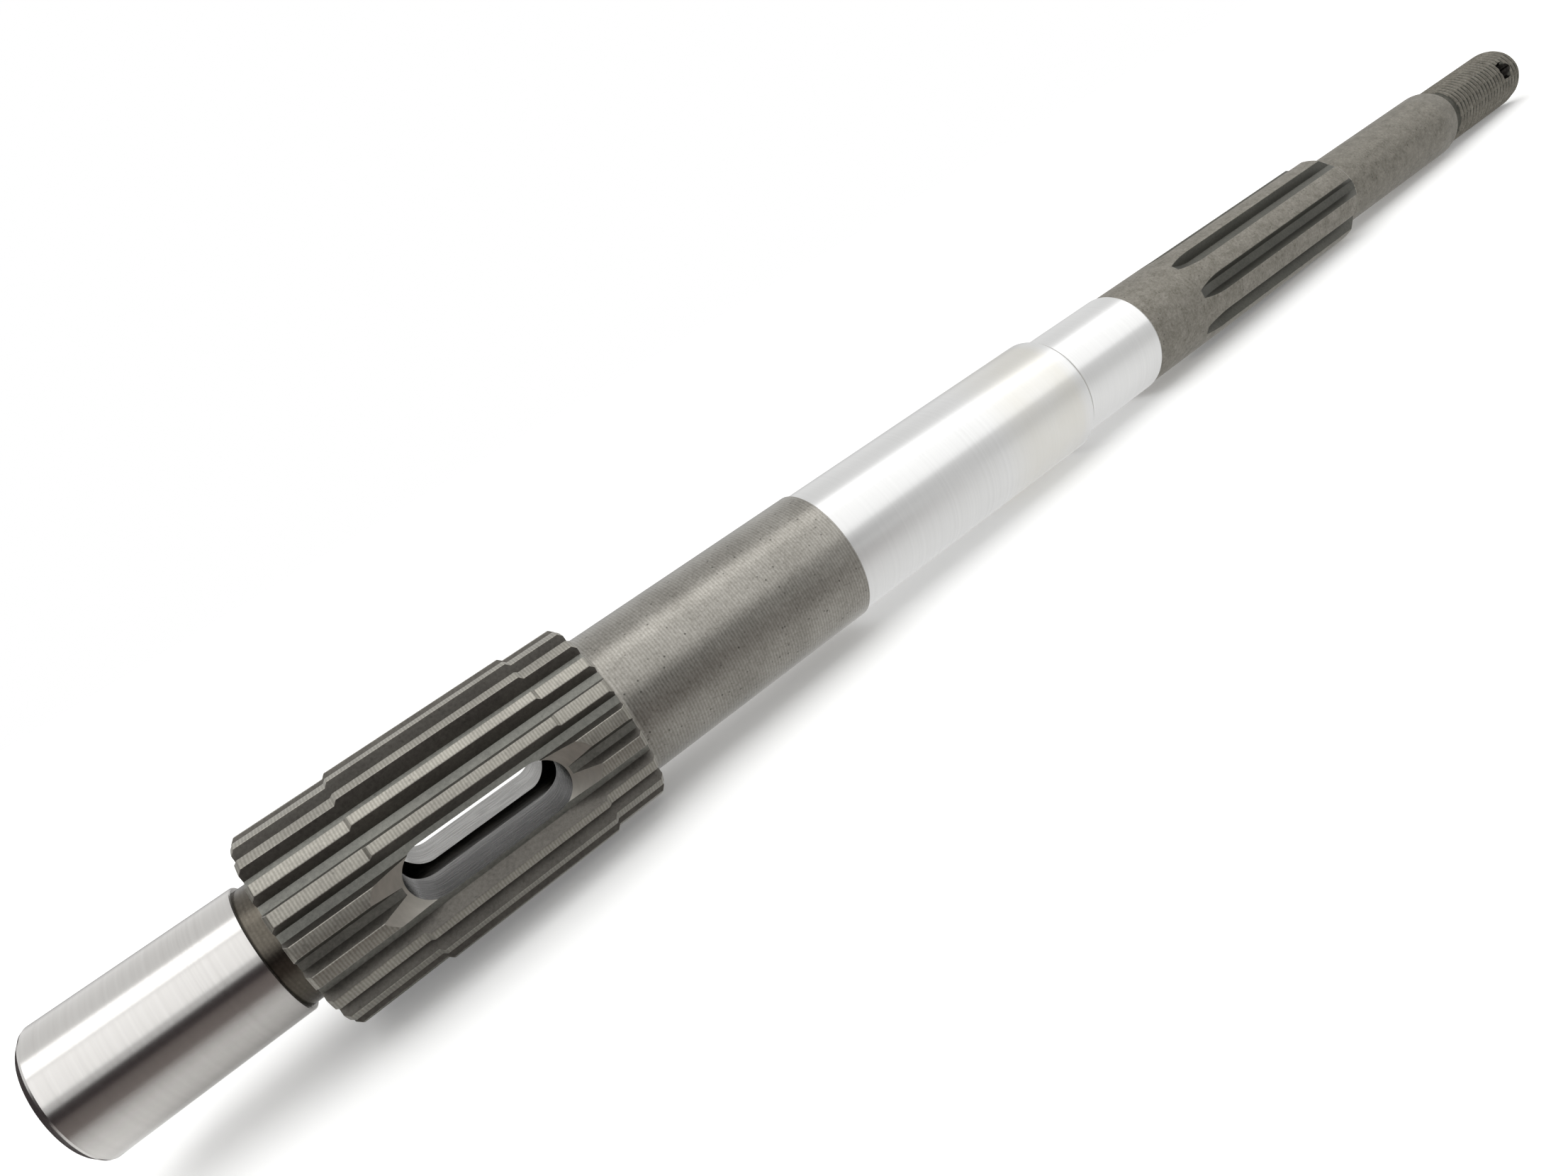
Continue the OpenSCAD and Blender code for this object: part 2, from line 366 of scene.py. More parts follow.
# %% Shape the slot's tool
slot_width, slot_length = 6.5, mounts["clutch_pin_slot"]["dims"]["slot_length_mm"]
slot_reach, round_steps = 15.0, 33
round_x = (slot_length - slot_width) / 2
round_angle = np.linspace(-np.pi / 2, np.pi / 2, round_steps)
round_end = slot_width / 2 * np.stack([np.cos(round_angle), np.sin(round_angle)], axis=1) + [round_x, 0]
loop = np.vstack([round_end, -round_end])
slot_tool = skin("slot_tool", np.stack([
    np.column_stack([loop[:, 0], np.full(len(loop), y), loop[:, 1]]) for y in (slot_reach, -slot_reach)]))
print("slot", slot_length, "by", slot_width, "mm,", len(loop), "points round")

# %% Shape the countersinks' tools
# Tools reach this far past the metal, in mm.
clear = 1.0
# The cone's slope, and how far below the gap floors it meets the slot's wall and has its base.
ramp_slope, ramp_bite, sink = math.radians(20), 0.12, 0.4
ramp_base = collar_tip - tooth_depth - sink
ramp_r = slot_width / 2 - (sink - ramp_bite) / math.tan(ramp_slope)
ramp_height = collar_tip + rise + clear - ramp_base
ramp_angle = ring_angles(72)
cone = np.array([
    [ramp_base, ramp_r],
    [ramp_base + ramp_height, ramp_r + ramp_height / math.tan(ramp_slope)]])
ramp_tools = []
for side in (-1, 1):
    for middle in (-round_x, round_x):
        x = middle + cone[:, 1:] * np.cos(ramp_angle)
        z = -side * cone[:, 1:] * np.sin(ramp_angle)
        ramp_tools.append(skin("ramp_tool", np.stack([x, side * cone[:, :1] + 0 * x, z], axis=-1)))
print(len(ramp_tools), "countersinks, from", round(ramp_r, 2), "mm in radius")


# %% Drill the bore and cut the collar
def cut(body, *tools):
    """Takes each tool's shape away from the body and keeps the result as the body's own mesh."""
    for tool in tools:
        modifier = body.modifiers.new(tool.name, "BOOLEAN")
        modifier.object, modifier.operation, modifier.solver = tool, "DIFFERENCE", "MANIFOLD"
    depsgraph = bpy.context.evaluated_depsgraph_get()
    depsgraph.update()
    worked = bpy.data.meshes.new_from_object(body.evaluated_get(depsgraph))
    body.modifiers.clear()
    body.data = worked
    for tool in tools:
        bpy.data.objects.remove(tool)


# How far the bore stops before the collar's end, the drill point's half angle and its tiny flat.
bore_short, drill_point, point_r = 3.1, math.radians(59), 0.01
bore_end = collar_x[1] - bore_short
bore_tool = turned("bore_tool", [
    (collar_x[0] - clear, bore_r),
    (bore_end, bore_r),
    (bore_end + bore_r / math.tan(drill_point) - point_r, point_r)], columns=96)
cut(clutch_collar, slot_tool, *ramp_tools, bore_tool)
crease(clutch_collar)
print("collar:", len(clutch_collar.data.vertices), "points,", len(clutch_collar.data.polygons), "faces")

# %% [markdown]
# The tail and its thread
#
# The tail carries the propeller's washer and nut. The solid has only the thread's outside cylinder,
# so the helix is cut here. A coil made with the Screw modifier could be joined to the bar, but its
# ends would need work by hand. Instead, with the phase x / pitch - angle / turn, a point's distance
# from the nearest crest gives its depth by the sixty degree flanks of a metric thread. The lower of
# turned outline and thread wins, so the thread runs out in the relief groove and in the tip's chamfer
# as a real one does.

# %% Make the tail and thread
# Half the crest's flat and the depth have the proportions of a metric thread.
pitch, rows_per_turn = 1.25, 14
flat, thread_depth = pitch / 16, 0.61 * pitch
relief_depth, relief_lead, tip_chamfer = 0.6, 0.6, 1.0
shoulder_length, shoulder_drop = 0.5, 0.45
relief_r, relief_end = thread_r - relief_depth, thread_x[0] - relief_lead
shoulder_x = tail_x[1] + shoulder_length
tail_outline = np.array([
    (tail_x[0], tail_r),
    (tail_x[1], tail_r),
    (shoulder_x - BREAK / 2, tail_r - shoulder_drop),
    (shoulder_x, relief_r),
    (relief_end, relief_r),
    (thread_x[0], thread_r),
    (thread_x[1], thread_r),
    (tip_x, thread_r - tip_chamfer)])
plain_x = tail_outline[tail_outline[:, 0] <= relief_end, 0]
tail_rows = np.concatenate([
    stations(*plain_x, every=6.0)[:-1],
    stations(relief_end, tip_x, every=pitch / rows_per_turn)])
turn_angle = ring_angles(112)
from_crest = pitch * np.abs((tail_rows[:, None] / pitch - turn_angle / (2 * np.pi)) % 1 - 0.5)
helix = thread_r - np.clip((from_crest - flat) * math.sqrt(3), 0, thread_depth)
turned_r = np.interp(tail_rows, *tail_outline.T)[:, None]
threaded = tail_rows[:, None] > thread_x[0] - relief_lead / 2
thread_skin = np.where(threaded, np.minimum(turned_r, helix), turned_r)
tail_and_thread = skin("tail_and_thread", around(tail_rows[:, None], thread_skin, turn_angle))
print("thread:", round((thread_x[1] - thread_x[0]) / pitch, 1), "turns,", len(tail_rows), "rows")

# %% [markdown]
# The cross hole
#
# A split pin through this hole keeps the nut from turning. The hole's edge is a curve in space that
# could be drawn point by point, but a turned pin laid along the mount's axis cuts it at once, again
# with a Boolean. A wider crease angle than elsewhere keeps the thread's flanks smooth.

# %% Drill the cross hole
THREAD_CREASE = math.radians(55)
pin_reach = 10
pin_place, pin_axis = mounts["cotter_hole"]["pos_m"], Vector(mounts["cotter_hole"]["axis"])
pin_turn = Vector((1, 0, 0)).rotation_difference(pin_axis).to_matrix().to_4x4()
pin_tool = turned("pin_tool", [(-pin_reach, pin_r), (pin_reach, pin_r)], columns=64)
pin_tool.data.transform(Matrix.Translation(pin_place) @ pin_turn)
cut(tail_and_thread, pin_tool)
crease(tail_and_thread, THREAD_CREASE)
print("tail and thread:", len(tail_and_thread.data.polygons), "faces")

# %% [markdown]
# Colours and nodes
#
# Hex colours are what the eye sees, but the shader works with light, so one function turns them to
# linear values. Materials could be wired by hand in the Shader Editor. In a script, one function that
# adds a node with its settings and links keeps them short enough to read. All steels start from the
# same blank, and metals keep the default IOR.

# %% Colours, nodes and scales
def linear(hex_colour):
    """sRGB hex to linear RGBA: c / 12.92 up to 0.04045, otherwise ((c + 0.055) / 1.055) ^ 2.4."""
    seen = np.array([int(hex_colour[i:i + 2], 16) for i in (1, 3, 5)]) / 255
    return (*np.where(seen <= 0.04045, seen / 12.92, ((seen + 0.055) / 1.055) ** 2.4).tolist(), 1.0)


def add(tree, kind, links=None, **settings):
    """Adds one node. Settings are its properties; links maps a socket to a value or to another
    node's socket."""
    made = tree.nodes.new(kind)
    for name, value in settings.items():
        setattr(made, name, value)
    for socket, value in (links or {}).items():
        if isinstance(value, bpy.types.NodeSocket):
            tree.links.new(value, made.inputs[socket])
        else:
            made.inputs[socket].default_value = value
    return made


def per_mm(size):
    """Texture scale that gives features of that size in mm, in object space."""
    return 1 / (size * MM)


# %% Blank materials
# The anisotropic rotation is given in turns.
QUARTER = 0.25


def blank(name):
    """A new material with an empty node tree: the material, its tree and its object coordinates."""
    material = bpy.data.materials.new(name)
    material.use_nodes = True
    tree = material.node_tree
    tree.nodes.clear()
    return material, tree, add(tree, "ShaderNodeTexCoord").outputs["Object"]


def steel(name, anisotropic=0.0, metallic=1.0):
    """An empty steel: its material, tree, shader and object coordinates. Where it is anisotropic, its
    mirror is smeared along the shaft's axis and stays sharp round it."""
    material, tree, place = blank(name)
    shader = add(tree, "ShaderNodeBsdfPrincipled", {"Metallic": metallic, "Anisotropic": anisotropic})
    if anisotropic:
        round_axis = add(tree, "ShaderNodeTangent", direction_type="RADIAL", axis="X")
        tree.links.new(round_axis.outputs["Tangent"], shader.inputs["Tangent"])
        shader.inputs["Anisotropic Rotation"].default_value = QUARTER
    add(tree, "ShaderNodeOutputMaterial", {"Surface": shader.outputs["BSDF"]})
    return material, tree, shader, place


def paint(tree, shader, colour, gloss, bump):
    """Links a colour socket, and the roughness and normal that two nodes give, to the shader."""
    tree.links.new(colour, shader.inputs["Base Color"])
    tree.links.new(gloss.outputs["Result"], shader.inputs["Roughness"])
    tree.links.new(bump.outputs["Normal"], shader.inputs["Normal"])


# %% [markdown]
# Ground steel
#
# The journals were ground between centres, and the wheel left fine rings round the bar. Bump alone
# can't show rings that are finer than a pixel, but what they do to a mirror can be shown: it stays
# sharp round the bar and smears along it. That is what the anisotropic shader does when it is turned
# a quarter. A noise that changes only along X adds rings for the eye. A faint grey cloud keeps the
# steel from looking like chrome, and a warm stain lies where the bearing ran.

# %% Make ground steel
# Sizes in mm. Real rings are much finer, and they are drawn half a millimetre apart so that they show.
RING, CLOUD = 0.5, 12
# The stain's tint, and over how many mm it fades at each end.
STAIN_TINT, STAIN_FADES = "#dddad0", (6.0, -2.0)
# How far the roughness strays.
GROUND_SPREAD = 0.03


def ground_steel(name, light, grey, rough, stain=None):
    """Bright steel with grinding rings between two tones; stain is a stretch, given by its first and
    last station in mm, with a warm tint that fades in and out inside it."""
    material, tree, shader, place = steel(name, anisotropic=0.6)
    along = add(tree, "ShaderNodeSeparateXYZ", {"Vector": place}).outputs["X"]
    rings = add(tree, "ShaderNodeTexNoise", {"W": along, "Scale": per_mm(RING), "Detail": 3.0},
                noise_dimensions="1D").outputs["Fac"]
    cloud = add(tree, "ShaderNodeTexNoise", {
        "Vector": place, "Scale": per_mm(CLOUD), "Detail": 3.0}).outputs["Fac"]
    tone = add(tree, "ShaderNodeMath", {0: rings, 1: cloud}, operation="MULTIPLY").outputs[0]
    colour = add(tree, "ShaderNodeMix", {"Factor": tone, "A": linear(light), "B": linear(grey)},
                 data_type="RGBA").outputs["Result"]
    if stain:
        patch = cloud
        for edge, fade in zip(stain, STAIN_FADES):
            inside = add(tree, "ShaderNodeMapRange", {
                "Value": along, "From Min": edge * MM, "From Max": (edge + fade) * MM}).outputs["Result"]
            patch = add(tree, "ShaderNodeMath", {0: patch, 1: inside}, operation="MULTIPLY").outputs[0]
        colour = add(tree, "ShaderNodeMix", {"Factor": patch, "A": colour, "B": linear(STAIN_TINT)},
                     data_type="RGBA").outputs["Result"]
    gloss = add(tree, "ShaderNodeMapRange", {
        "Value": rings, "To Min": rough - GROUND_SPREAD, "To Max": rough + GROUND_SPREAD})
    bump = add(tree, "ShaderNodeBump", {"Height": rings, "Strength": 0.04, "Distance": 0.01 * MM})
    paint(tree, shader, colour, gloss, bump)
    return material


# %% [markdown]
# Dark steel
#
# The rest of the bar was left as the lathe and the hob made it and then phosphated: a thin crystal
# coat that turns steel a warm, dull grey. One flat grey would look like paint. Three things break it
# up: turning lines where a lathe cut, a fine crystal grain that drifts in tone from patch to patch,
# and small dark specks. All three are worked out from the place on the bar, so nothing has to be
# unwrapped.

# %% Make dark steel
# A wave texture of scale 1 has a band every 2 pi / 20 units.
WAVE = 2 * math.pi / 20
# Sizes in mm. Real crystals are much finer, and they are drawn as a grain that still shows.
GRAIN, SPECKS_APART = 0.4, 1.3
GROOVE_TONE, SPECK_TONE = "#4a463f", "#2c2a26"
DRIFT_SHARE = 0.4
# Values of the darkest and the lightest grain, and distances of a speck's core and its edge.
GRAIN_RANGE, SPECK_RANGE = (0.48, 0.92), (0.05, 0.14)
DARK_SPREAD = 0.08


def dark_steel(name, light, dark, rough, line_mm=0.0, line_tone=0.3, speck=0.5, metallic=0.8, patch=6.0):
    """Phosphated steel: grain between two tones that drifts over patches of that size in mm, turning
    lines line_mm apart (0: none) and dark specks."""
    material, tree, shader, place = steel(name, metallic=metallic)
    grain = add(tree, "ShaderNodeTexNoise", {
        "Vector": place, "Scale": per_mm(GRAIN), "Detail": 5.0, "Roughness": 0.75}).outputs["Fac"]
    drift = add(tree, "ShaderNodeTexNoise", {
        "Vector": place, "Scale": per_mm(patch), "Detail": 2.0}).outputs["Fac"]
    mixed = add(tree, "ShaderNodeMath", {0: drift, 1: DRIFT_SHARE, 2: grain}, operation="MULTIPLY_ADD")
    tone = add(tree, "ShaderNodeMapRange", {
        "Value": mixed.outputs[0], "From Min": GRAIN_RANGE[0], "From Max": GRAIN_RANGE[1]})
    colour = add(tree, "ShaderNodeMix", {
        "Factor": tone.outputs["Result"], "A": linear(dark), "B": linear(light)},
        data_type="RGBA").outputs["Result"]
    height = grain
    if line_mm:
        lines = add(tree, "ShaderNodeTexWave", {
            "Vector": place, "Scale": WAVE * per_mm(line_mm), "Distortion": 0.6, "Detail": 1.0,
            "Detail Scale": 2.0}, bands_direction="X").outputs["Fac"]
        share = add(tree, "ShaderNodeMath", {0: lines, 1: line_tone}, operation="MULTIPLY").outputs[0]
        colour = add(tree, "ShaderNodeMix", {"Factor": share, "A": colour, "B": linear(GROOVE_TONE)},
                     data_type="RGBA").outputs["Result"]
        height = add(tree, "ShaderNodeMath", {0: height, 1: lines}, operation="ADD").outputs[0]
    specks = add(tree, "ShaderNodeTexVoronoi", {
        "Vector": place, "Scale": per_mm(SPECKS_APART), "Randomness": 1.0}).outputs["Distance"]
    dots = add(tree, "ShaderNodeMapRange", {
        "Value": specks, "From Min": SPECK_RANGE[0], "From Max": SPECK_RANGE[1], "To Min": speck,
        "To Max": 0.0}).outputs["Result"]
    colour = add(tree, "ShaderNodeMix", {"Factor": dots, "A": colour, "B": linear(SPECK_TONE)},
                 data_type="RGBA").outputs["Result"]
    gloss = add(tree, "ShaderNodeMapRange", {
        "Value": grain, "To Min": rough - DARK_SPREAD, "To Max": rough + DARK_SPREAD})
    bump = add(tree, "ShaderNodeBump", {"Height": height, "Strength": 0.25, "Distance": 0.02 * MM})
    paint(tree, shader, colour, gloss, bump)
    return material


# %% [markdown]
# Milled walls and the drilled bore
#
# The end mill turned about Y and left fine rings across its axis. A noise that changes quickly along Y and
# slowly along X and Z gives such streaks on the straight walls and on the round ends alike, which a pattern
# laid on from one side could not. The walls are darker towards one mouth of the slot: that is painted
# shade. The bore hardly sees light, and its wall is painted nearly black as painted shade.

# %% Make milled steel
# The streaks' width in mm, how quickly they change along X, Y and Z, and the noise values they span.
STREAK, STREAK_PACE, STREAK_RANGE = 0.35, (0.15, 1, 0.15), (0.3, 0.7)
# Where the slot walls' painted shade is whole and where it has gone, along Y in mm.
PAINTED_SHADE_Y = (-5, 3)
MILLED_SPREAD = 0.06


def milled_steel(name, light, dark, rough, painted_shade=None):
    """Bare milled steel: fine streaks between two greys; painted_shade is a darker tone, painted shade,
    that is whole at the first of the two places in PAINTED_SHADE_Y, in mm, and gone at the second."""
    material, tree, shader, place = steel(name)
    paced = add(tree, "ShaderNodeVectorMath", {0: place, 1: STREAK_PACE}, operation="MULTIPLY")
    streaks = add(tree, "ShaderNodeTexNoise", {
        "Vector": paced.outputs["Vector"], "Scale": per_mm(STREAK), "Detail": 4.0}).outputs["Fac"]
    tone = add(tree, "ShaderNodeMapRange", {
        "Value": streaks, "From Min": STREAK_RANGE[0], "From Max": STREAK_RANGE[1]}).outputs["Result"]
    colour = add(tree, "ShaderNodeMix", {"Factor": tone, "A": linear(dark), "B": linear(light)},
                 data_type="RGBA").outputs["Result"]
    # A darker tone towards one side of the slot: painted shade.
    if painted_shade:
        side = add(tree, "ShaderNodeSeparateXYZ", {"Vector": place}).outputs["Y"]
        shade_share = add(tree, "ShaderNodeMapRange", {
            "Value": side, "From Min": PAINTED_SHADE_Y[0] * MM, "From Max": PAINTED_SHADE_Y[1] * MM, "To Min": 1.0,
            "To Max": 0.0}).outputs["Result"]
        colour = add(tree, "ShaderNodeMix", {"Factor": shade_share, "A": colour, "B": linear(painted_shade)},
                     data_type="RGBA").outputs["Result"]
    gloss = add(tree, "ShaderNodeMapRange", {
        "Value": tone, "To Min": rough + MILLED_SPREAD, "To Max": rough - MILLED_SPREAD})
    bump = add(tree, "ShaderNodeBump", {"Height": streaks, "Strength": 0.4, "Distance": 0.02 * MM})
    paint(tree, shader, colour, gloss, bump)
    return material


# %% [markdown]
# The finishes
#
# It is all one steel, and one material could serve for all of it. But each stretch was cut in another way,
# and the small differences are what lets the eye read the teeth, the steps and the chamfers. So each finish
# has its own two tones and its own roughness. Some darker tones are painted shade: on the neck, the
# collar's flanks, the spline's gaps, the thread's roots, the slot walls near one mouth, the bearing's
# chamfer and the bores.

# %% Mix the finishes
# Turning lines in mm. Real ones are about 0.3 mm apart, and they are drawn coarser so that they show.
LINES, TIP_LINES = 0.42, 0.36
# Where the stain begins and ends, in mm before the bearing journal's end.
stain_from, stain_to = 18.5, 0.6
stained_x = (bearing_x[1] - stain_from, bearing_x[1] - stain_to)

# The journals mirror the room: the front one more sharply, the rear two brighter and softer.
ground = ground_steel("ground_steel", "#dcdad7", "#c6c3c0", 0.22)
ground_bright = ground_steel("ground_steel_bright", "#e6e6e5", "#d5d5d4", 0.3, stain=stained_x)
# The bearing's lead chamfer was turned and not ground, so it is matt; its darker tone is painted shade that
# shows the step as a line.
edge_steel = dark_steel("turned_chamfer_steel", "#bab8b4", "#a3a19d", 0.4, speck=0.1)
# The shank has a grey sheen with turning lines and specks; the neck is cut alike, and its darker tone is
# painted shade of the narrow groove between journal and collar.
shank_steel = dark_steel("phosphated_turned_steel", "#aeaba4", "#84817a", 0.3, line_mm=LINES,
                         line_tone=0.25, speck=0.7, metallic=0.95)
shaded_neck_steel = dark_steel("phosphated_neck_steel_painted_shade", "#6e6960", "#565149", 0.24, line_mm=LINES,
                        line_tone=0.3, speck=0.1, metallic=1.0)
# The collar has pale lined tips and grey gap floors; its flanks are darker, which is painted shade between
# the teeth, so that the teeth stand out.
tip_steel = dark_steel("rubbed_tooth_steel", "#b0ada3", "#8f8c85", 0.38, line_mm=TIP_LINES,
                       line_tone=0.32, speck=0.3)
shaded_flank_steel = dark_steel("phosphated_flank_steel_painted_shade", "#6c6963", "#514e4a", 0.42, speck=0.3)
hobbed_steel = dark_steel("phosphated_hobbed_steel", "#8c8c85", "#6b6b66", 0.42, speck=0.3)
# The propeller end is dull and mottled, with a lighter lead chamfer; its gaps, and the thread's roots, are
# darker as painted shade in the hollows.
spline_steel = dark_steel("phosphated_spline_steel", "#96928a", "#67645a", 0.6, patch=1.5)
tail_steel = dark_steel("phosphated_tail_steel", "#8f8b82", "#615e55", 0.6, patch=1.5)
shaded_gap_steel = dark_steel("phosphated_gap_steel_painted_shade", "#5d5c55", "#454540", 0.45, speck=0.3)
lead_steel = dark_steel("chamfered_steel", "#a3a097", "#88857c", 0.42, speck=0.3)
# The slot has bare grey walls with painted shade towards one side, its ramps are pale and matt, and the
# bore is painted nearly black as painted shade.
slot_steel = milled_steel("milled_steel", "#a6a5a2", "#868582", 0.28, painted_shade="#4a4948")
ramp_steel = milled_steel("countersunk_steel", "#c2bfb6", "#aaa79f", 0.45)
# The bore and the cross hole are painted nearly black: painted shade of the deep holes.
shaded_bore_steel = milled_steel("drilled_steel_painted_shade", "#4a4844", "#2e2c2a", 0.45)
print("finishes:", [material.name for material in bpy.data.materials])

# %% [markdown]
# Which face gets which finish
#
# On the real bar the finish follows the tool that made a face, and a face tells its tool by where it lies
# and which way it looks; the same tests find the hollows that get painted shade. Faces could be picked by
# hand in Edit Mode, but array tests on all face centres and normals find them again when a size changes. A
# later mask wins over an earlier one.

# %% Read and dress faces
def faces(obj):
    """Centres in mm, normals, and distances from the axis in mm of all faces, as arrays."""
    mesh = obj.data
    centre, normal = np.empty(len(mesh.polygons) * 3), np.empty(len(mesh.polygons) * 3)
    mesh.polygons.foreach_get("center", centre)
    mesh.polygons.foreach_get("normal", normal)
    centre, normal = centre.reshape(-1, 3) / MM, normal.reshape(-1, 3)
    return centre, normal, np.hypot(centre[:, 1], centre[:, 2])


def dress(obj, main, *others):
    """Gives the main material to all faces, then each (material, mask) pair to the faces in its mask."""
    obj.data.materials.clear()
    which = np.zeros(len(obj.data.polygons), dtype=np.int32)
    obj.data.materials.append(main)
    for number, (material, mask) in enumerate(others, start=1):
        obj.data.materials.append(material)
        which[mask] = number
    obj.data.polygons.foreach_set("material_index", which)
    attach(obj, "root")
    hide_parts("propeller_shaft")
    print(obj.name, "faces by finish:", np.bincount(which).tolist())


# %% Dress the turned stretches
# A face that should lie on a line or a surface may miss it by this much, in mm.
HAIR = 0.01

centre, normal, _ = faces(front_journal)
in_bore = (normal[:, 1:] * centre[:, 1:]).sum(1) < 0
in_neck = ~in_bore & (centre[:, 0] > journal_x[1] - HAIR)
# The neck's darker tone is painted shade of its groove, and the bore's near-black is painted shade.
dress(front_journal, ground, (shaded_neck_steel, in_neck), (shaded_bore_steel, in_bore))

dress(shank, shank_steel)
centre, _, _ = faces(bearing_journal)
# The chamfer's darker tone is painted shade that draws the step.
dress(bearing_journal, ground_bright, (edge_steel, centre[:, 0] > bearing_x[1] + BREAK))
dress(seal_journal, ground_bright)

# %% Dress the clutch collar
# How near a face lies to the tooth tips or a countersink's cone that it belongs to, in mm.
NEAR_TIP, NEAR_CONE = 0.05, 0.08
# How nearly a normal points away from the axis, how little along Y, and how near a cone's it is.
POINTS_OUT, SQUARE_TO_Y, SAME_SLOPE = 0.9, 0.05, 0.01

centre, normal, reach = faces(clutch_collar)
along, across, up = np.abs(centre).T
outward = (normal[:, 1:] * centre[:, 1:]).sum(1) / np.maximum(reach, HAIR)
gap_floor = (outward > POINTS_OUT) & (reach > ramp_base)
tooth_tip = reach > np.interp(centre[:, 0], *collar_outline.T) - NEAR_TIP
in_slot = (along < slot_length / 2 + 2 * HAIR) & (up < slot_width / 2 + 2 * HAIR)
slot_wall = in_slot & (np.abs(normal[:, 1]) < SQUARE_TO_Y) & (reach > bore_r)
cone_y = ramp_base + (np.hypot(along - round_x, up) - ramp_r) * math.tan(ramp_slope)
on_cone = (np.abs(across - cone_y) < NEAR_CONE) & (along < slot_length)
cone_slope = np.abs(np.abs(normal[:, 1]) - math.cos(ramp_slope)) < SAME_SLOPE
ramp_face = on_cone & cone_slope & ~slot_wall
bore_wall = (reach < bore_r + 2 * HAIR) & ~slot_wall
# The flanks' darker tone is painted shade between the teeth; one slot side and the bore carry painted shade
# too.
dress(clutch_collar, shaded_flank_steel, (hobbed_steel, gap_floor), (tip_steel, tooth_tip),
      (slot_steel, slot_wall), (ramp_steel, ramp_face), (shaded_bore_steel, bore_wall))

# %% Dress the propeller spline and the tail
# A gap begins this far below the tips, in mm, and a thread's root at this share of its depth.
BELOW_TIP, ROOT_SHARE = 0.06, 0.4

centre, _, reach = faces(propeller_spline)
in_gap = reach < np.interp(centre[:, 0], prop_x, prop_tip) - BELOW_TIP
on_lead = ~in_gap & (centre[:, 0] > lead_x)
# The gaps' darker tone is painted shade in the hollows.
dress(propeller_spline, spline_steel, (shaded_gap_steel, in_gap), (lead_steel, on_lead))

centre, _, reach = faces(tail_and_thread)
behind = (centre[:, 0] > shoulder_x - HAIR) & (centre[:, 0] < tip_x - HAIR)
thread_root = behind & (reach < thread_r - ROOT_SHARE * thread_depth)
from_pin = centre - np.array(pin_place) / MM
from_pin -= (from_pin @ np.array(pin_axis))[:, None] * np.array(pin_axis)
in_hole = np.linalg.norm(from_pin, axis=1) < pin_r + 2 * HAIR
# Thread roots and relief groove take the darker gap tone as painted shade; the cross hole is painted nearly
# black as painted shade.
dress(tail_and_thread, tail_steel, (shaded_gap_steel, thread_root), (shaded_bore_steel, in_hole))

# %% [markdown]
# The floor
#
# The shaft lies on two clutch teeth and on the end of its thread, so the floor leans by the small
# angle that those two places give. It is white paper. A curved backdrop would do as well, but a flat
# sheet is simpler: far from the shaft it glows a little to the camera, and so it runs into the white
# of the studio without a horizon. From the collar rearwards, mirrors see it more evenly lit than it
# is: otherwise the bright journals would show their own shadow as a black underside.

# %% Helpers for the stage
rest_x, rest_z = band_x[1], cad_box[0].z / MM
lean = (-thread_r - rest_z) / (thread_x[1] - rest_x)


def sheet(name, corners, material):
    """A flat staged sheet through corners given as (x, y, height above the leaning floor), in mm."""
    corners = np.array(corners, float)
    corners[:, 2] += rest_z + lean * (corners[:, 0] - rest_x)
    mesh = bpy.data.meshes.new(name)
    mesh.from_pydata((corners * MM).tolist(), [], [list(range(len(corners)))])
    mesh.materials.append(material)
    obj = bpy.data.objects.new(name, mesh)
    bpy.context.scene.collection.objects.link(obj)
    return obj


def lying(x, y, height):
    """Corners of a sheet that lies flat, from its x and y ranges and its height, in mm."""
    return [(x[0], y[0], height), (x[1], y[0], height), (x[1], y[1], height), (x[0], y[1], height)]


def seen_directly(tree):
    """Two sockets: 1 for camera and see-through rays, and 1 for rays from a mirror; 0 for others."""
    path = add(tree, "ShaderNodeLightPath").outputs
    straight = add(tree, "ShaderNodeMath", {
        0: path["Is Camera Ray"], 1: path["Is Transmission Ray"]}, operation="MAXIMUM")
    return straight.outputs[0], path["Is Glossy Ray"]


# %% Make the floor
# Half the paper's width, in mm.
SIDE = 4000
shaft_middle = (100 * MM, 0, 0)
# Distance from the shaft's middle in mm, and how strongly the paper glows to the camera there.
GLOW_AT, GLOW = (120, 600), (0.16, 0.7)
# Place across the shaft in mm, and how bright mirrors see the paper there.
EVEN_AT, EVEN = (-45, -8), (0.6, 1.0)
# Place along the shaft in mm where this even look begins and is complete, and its share then.
EVEN_X, EVEN_SHARE = (-20, 60), 0.75

paper, tree, place = blank("white_paper")
straight, mirrored = seen_directly(tree)
distance = add(tree, "ShaderNodeVectorMath", {0: place, 1: shaft_middle}, operation="DISTANCE")
fade = add(tree, "ShaderNodeMapRange", {
    "Value": distance.outputs["Value"], "From Min": GLOW_AT[0] * MM, "From Max": GLOW_AT[1] * MM,
    "To Min": GLOW[0], "To Max": GLOW[1]}).outputs["Result"]
glow = add(tree, "ShaderNodeMath", {0: straight, 1: fade}, operation="MULTIPLY")
